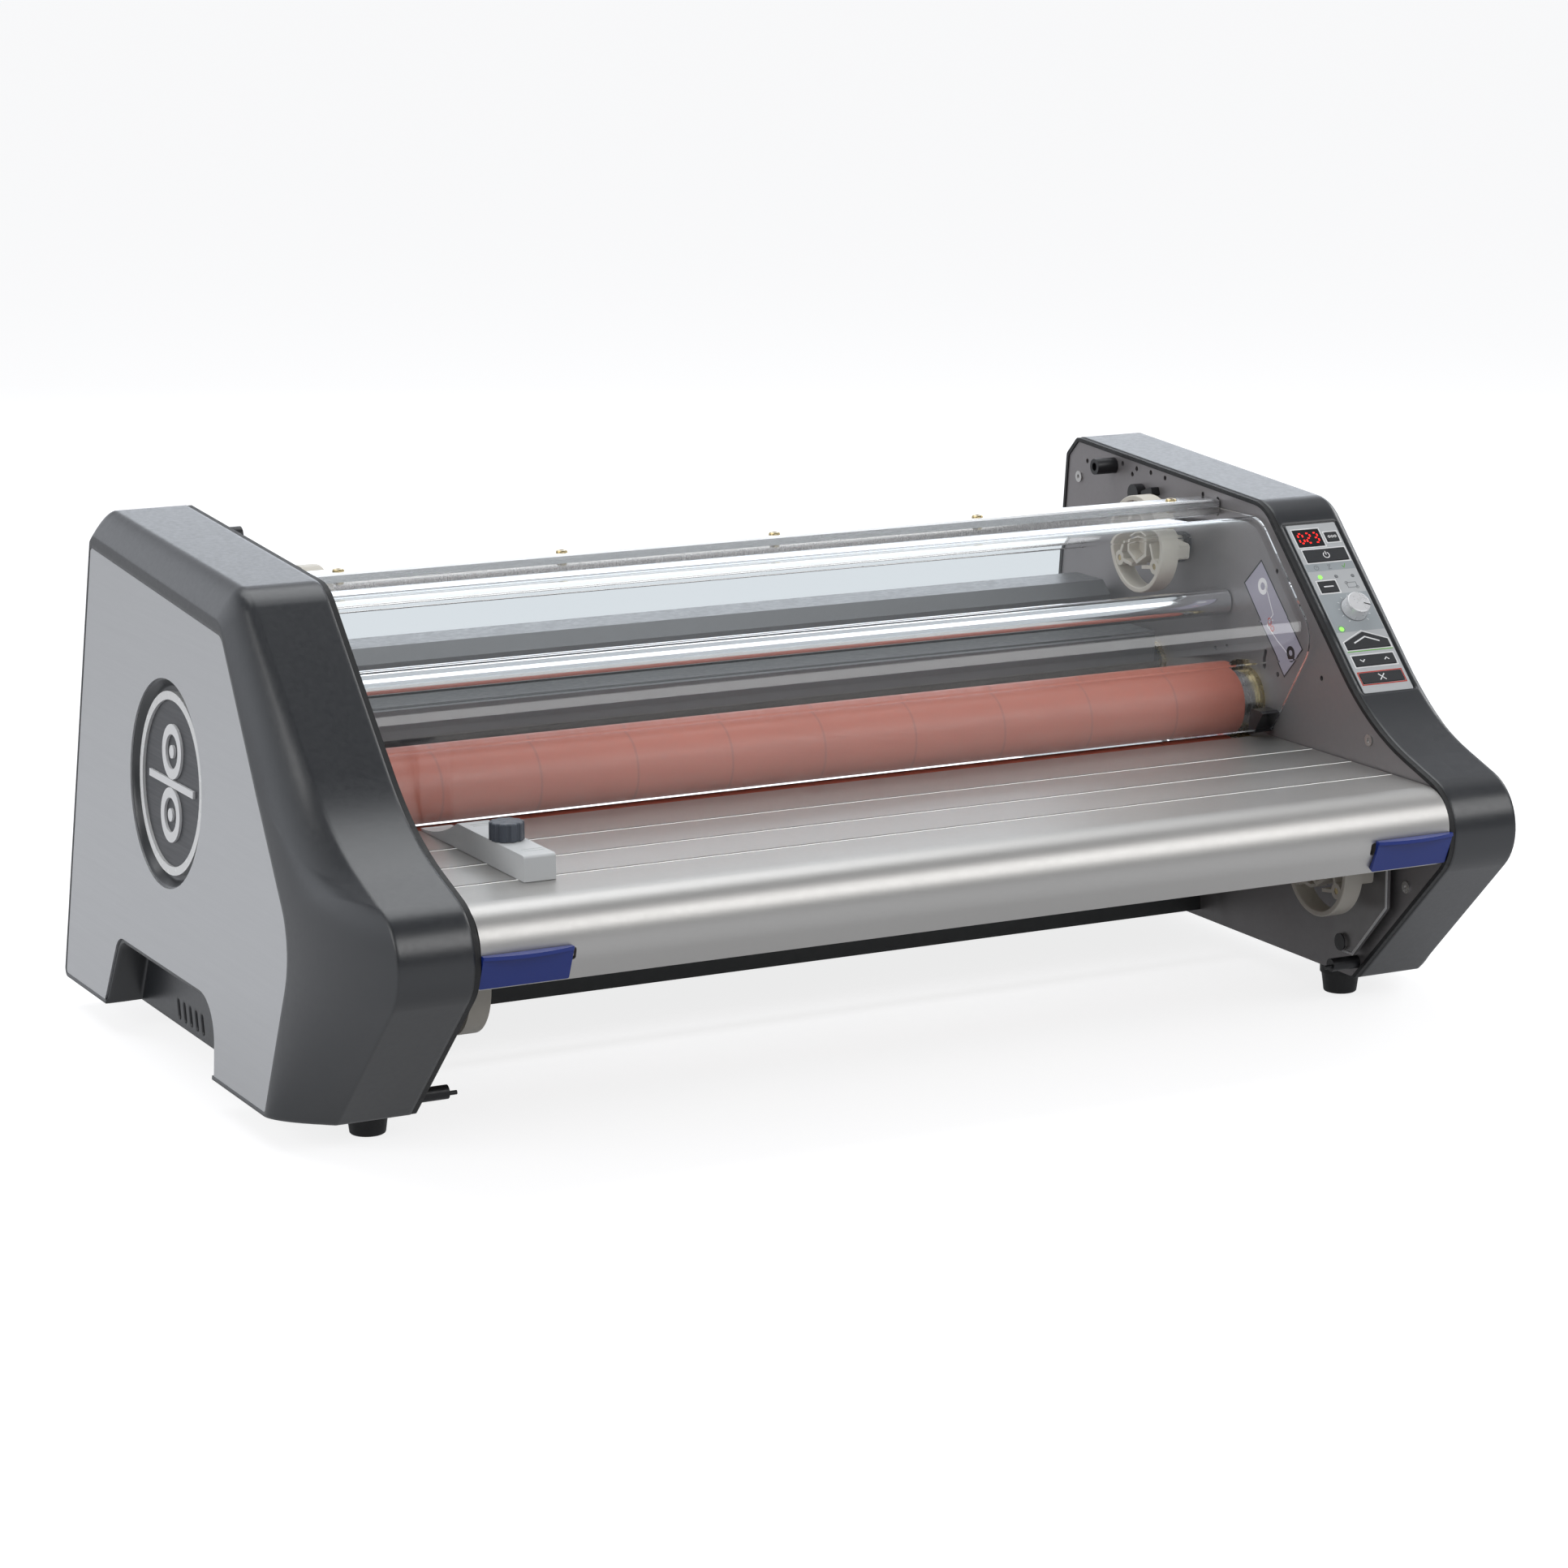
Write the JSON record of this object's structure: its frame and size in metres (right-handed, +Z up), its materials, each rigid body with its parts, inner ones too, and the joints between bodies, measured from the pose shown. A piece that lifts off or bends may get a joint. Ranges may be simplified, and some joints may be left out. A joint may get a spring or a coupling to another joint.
{
  "type": "roll laminator",
  "caption": "Tabletop thermal roll laminator with hinged feed tray, clear shield, film chucks, geared rollers, side covers and control panel.",
  "frame": {"origin": "on the table, under the centre of the machine's outline", "axes": "+X to the operator's right along the rollers, +Y towards the rear, +Z up"},
  "size_m": [0.914, 0.5726, 0.3692],
  "materials": {
    "casing": "fine-textured satin charcoal plastic",
    "casing_panel": "smooth light grey plastic",
    "trim_white": "glossy white ring",
    "trim_dark": "brushed dark grey disc",
    "seal": "matte black edging",
    "plate": "warm grey powder coat",
    "pan": "near-black powder coat",
    "duct": "dark grey powder coat",
    "steel": "turned and ground steel",
    "polished": "polished chrome",
    "brass": "turned brass",
    "silicone": "salmon-pink silicone",
    "pull_rubber": "ground dark grey rubber",
    "black_plastic": "moulded black plastic",
    "foot_rubber": "black rubber",
    "gear_plastic": "cream moulded gear plastic",
    "chuck_plastic": "cream moulded plastic",
    "clear": "clear polycarbonate sheet",
    "aluminium": "satin anodised aluminium",
    "tray": "fine silver metallic paint",
    "latch": "royal blue moulded plastic",
    "guide": "pale grey plastic",
    "knob": "dark blue-grey plastic",
    "overlay": "silver printed overlay",
    "window": "smoked display window",
    "key": "dark key caps",
    "dial": "satin silver knob",
    "board": "green circuit board",
    "motor": "black painted motor body",
    "heater": "quartz heater tube",
    "bracket": "light grey powder coat",
    "rear": "mid grey powder coat"
  },
  "bodies": {
    "frame": {"side_plate_left": "plate", "side_plate_right": "plate", "edge_seals": "seal", "side_cover_left": "casing", "side_cover_right": "casing", "face_panels": "casing_panel", "badge_rings": "trim_white", "badge_discs": "trim_dark", "base_pan": "pan", "rear_cover": "rear", "cooling_duct": "duct", "tie_bars": "steel", "frame_studs": "black_plastic", "chuck_brackets": "bracket", "feet": "foot_rubber", "frame_screws": "steel", "roller_bearings": "brass", "heater_brackets": "steel", "heater_tubes": "heater", "tension_rings": "seal", "panel_overlay": "overlay", "display_window": "window", "control_board": "board", "drive_motor": "motor", "power_inlet": "black_plastic"},
    "upper_heat_roller": {"upper_heat_core": "steel", "upper_heat_sleeve": "silicone", "upper_heat_gear": "gear_plastic"},
    "lower_heat_roller": {"lower_heat_core": "steel", "lower_heat_sleeve": "silicone", "lower_heat_gear": "gear_plastic"},
    "upper_pull_set": {"upper_pull_roller": "pull_rubber", "upper_pull_gear": "gear_plastic"},
    "lower_pull_set": {"lower_pull_roller": "pull_rubber", "lower_pull_gear": "gear_plastic"},
    "upper_idler_bar": {"upper_idler": "polished"},
    "lower_idler_bar": {"lower_idler": "polished"},
    "transfer_wheel": {"transfer_gear": "gear_plastic"},
    "pinion": {"motor_pinion": "brass"},
    "upper_chuck_l": {"upper_chuck_left": "chuck_plastic"},
    "upper_chuck_r": {"upper_chuck_right": "chuck_plastic"},
    "lower_chuck_l": {"lower_chuck_left": "chuck_plastic"},
    "lower_chuck_r": {"lower_chuck_right": "chuck_plastic"},
    "shield_assembly": {"shield": "clear", "shield_rail": "aluminium", "shield_screws": "brass", "shield_hooks": "black_plastic"},
    "tray": {"feed_tray": "tray"},
    "latch_l": {"tray_latch_left": "latch"},
    "latch_r": {"tray_latch_right": "latch"},
    "guide": {"feed_guide": "guide"},
    "clamp_knob": {"guide_knob": "knob"},
    "key_preset": {"button_preset": "key"},
    "key_power": {"button_power": "key"},
    "key_film": {"button_film": "key"},
    "key_run": {"button_run": "key"},
    "key_stop": {"button_stop": "key"},
    "key_rocker": {"rocker_speed": "key"},
    "knob_speed": {"speed_knob": "dial"},
    "mains_rocker": {"power_switch": "black_plastic"}
  },
  "joints": [
    {"name": "upper_heat_spin", "type": "hinge", "parent": "frame", "child": "upper_heat_roller", "pos_m": [0, -0.018, 0.203], "axis": [1, 0, 0], "continuous": true},
    {"name": "lower_heat_spin", "type": "hinge", "parent": "frame", "child": "lower_heat_roller", "pos_m": [0, -0.018, 0.151], "axis": [1, 0, 0], "continuous": true},
    {"name": "upper_pull_spin", "type": "hinge", "parent": "frame", "child": "upper_pull_set", "pos_m": [0, 0.118, 0.203], "axis": [1, 0, 0], "continuous": true},
    {"name": "lower_pull_spin", "type": "hinge", "parent": "frame", "child": "lower_pull_set", "pos_m": [0, 0.118, 0.151], "axis": [1, 0, 0], "continuous": true},
    {"name": "transfer_spin", "type": "hinge", "parent": "frame", "child": "transfer_wheel", "pos_m": [0, 0.05, 0.151], "axis": [1, 0, 0], "continuous": true},
    {"name": "pinion_spin", "type": "hinge", "parent": "frame", "child": "pinion", "pos_m": [0, 0.07367, 0.10025], "axis": [1, 0, 0], "continuous": true},
    {"name": "upper_idler_spin", "type": "hinge", "parent": "frame", "child": "upper_idler_bar", "pos_m": [0, 0.012, 0.2703], "axis": [1, 0, 0], "continuous": true},
    {"name": "lower_idler_spin", "type": "hinge", "parent": "frame", "child": "lower_idler_bar", "pos_m": [0, -0.084, 0.092], "axis": [1, 0, 0], "continuous": true},
    {"name": "upper_chuck_left_spin", "type": "hinge", "parent": "frame", "child": "upper_chuck_l", "pos_m": [0, 0.078, 0.3075], "axis": [1, 0, 0], "continuous": true},
    {"name": "upper_chuck_right_spin", "type": "hinge", "parent": "frame", "child": "upper_chuck_r", "pos_m": [0, 0.078, 0.3075], "axis": [1, 0, 0], "continuous": true},
    {"name": "lower_chuck_left_spin", "type": "hinge", "parent": "frame", "child": "lower_chuck_l", "pos_m": [0, -0.1725, 0.1105], "axis": [1, 0, 0], "continuous": true},
    {"name": "lower_chuck_right_spin", "type": "hinge", "parent": "frame", "child": "lower_chuck_r", "pos_m": [0, -0.1725, 0.1105], "axis": [1, 0, 0], "continuous": true},
    {"name": "shield_open", "type": "hinge", "parent": "frame", "child": "shield_assembly", "pos_m": [0, 0.033, 0.3438], "axis": [-1, 0, 0], "range_deg": [0, 100]},
    {"name": "tray_lift", "type": "hinge", "parent": "frame", "child": "tray", "pos_m": [0, -0.062, 0.172], "axis": [-1, 0, 0], "range_deg": [0, 35]},
    {"name": "latch_left_slide", "type": "slide", "parent": "tray", "child": "latch_l", "axis": [1, 0, 0], "range_m": [0, 0.009], "stiffness_N_per_m": 150},
    {"name": "latch_right_slide", "type": "slide", "parent": "tray", "child": "latch_r", "axis": [-1, 0, 0], "range_m": [0, 0.009], "stiffness_N_per_m": 150},
    {"name": "guide_slide", "type": "slide", "parent": "tray", "child": "guide", "axis": [1, 0, 0], "range_m": [-0.02, 0.6]},
    {"name": "clamp_knob_turn", "type": "hinge", "parent": "guide", "child": "clamp_knob", "pos_m": [-0.301, -0.1715, 0.2], "axis": [0, 0, 1], "range_deg": [0, 180]},
    {"name": "preset_press", "type": "slide", "parent": "frame", "child": "key_preset", "axis": [0, 0.7104, -0.7038], "range_m": [0, 0.001], "stiffness_N_per_m": 400},
    {"name": "power_press", "type": "slide", "parent": "frame", "child": "key_power", "axis": [0, 0.7104, -0.7038], "range_m": [0, 0.001], "stiffness_N_per_m": 400},
    {"name": "film_press", "type": "slide", "parent": "frame", "child": "key_film", "axis": [0, 0.7104, -0.7038], "range_m": [0, 0.001], "stiffness_N_per_m": 400},
    {"name": "run_press", "type": "slide", "parent": "frame", "child": "key_run", "axis": [0, 0.7104, -0.7038], "range_m": [0, 0.001], "stiffness_N_per_m": 400},
    {"name": "stop_press", "type": "slide", "parent": "frame", "child": "key_stop", "axis": [0, 0.7104, -0.7038], "range_m": [0, 0.001], "stiffness_N_per_m": 400},
    {"name": "speed_rocker_tilt", "type": "hinge", "parent": "frame", "child": "key_rocker", "pos_m": [0.3986, -0.14007, 0.24807], "axis": [0, 0.7038, 0.7104], "range_deg": [-2.5, 2.5], "stiffness_Nm_per_rad": 0.05},
    {"name": "speed_knob_turn", "type": "hinge", "parent": "frame", "child": "knob_speed", "pos_m": [0.4015, -0.10953, 0.28102], "axis": [0, -0.7104, 0.7038], "range_deg": [-140, 140]},
    {"name": "mains_switch_tilt", "type": "hinge", "parent": "frame", "child": "mains_rocker", "pos_m": [-0.262, 0.258, 0.07], "axis": [1, 0, 0], "range_deg": [0, 16]}
  ],
  "couplings": [
    {"joint": "lower_heat_spin", "follows": "upper_heat_spin", "ratio": -1},
    {"joint": "transfer_spin", "follows": "upper_heat_spin", "ratio": 0.61905},
    {"joint": "lower_pull_spin", "follows": "upper_heat_spin", "ratio": -1},
    {"joint": "upper_pull_spin", "follows": "upper_heat_spin", "ratio": 1},
    {"joint": "pinion_spin", "follows": "upper_heat_spin", "ratio": -1.8571}
  ]
}
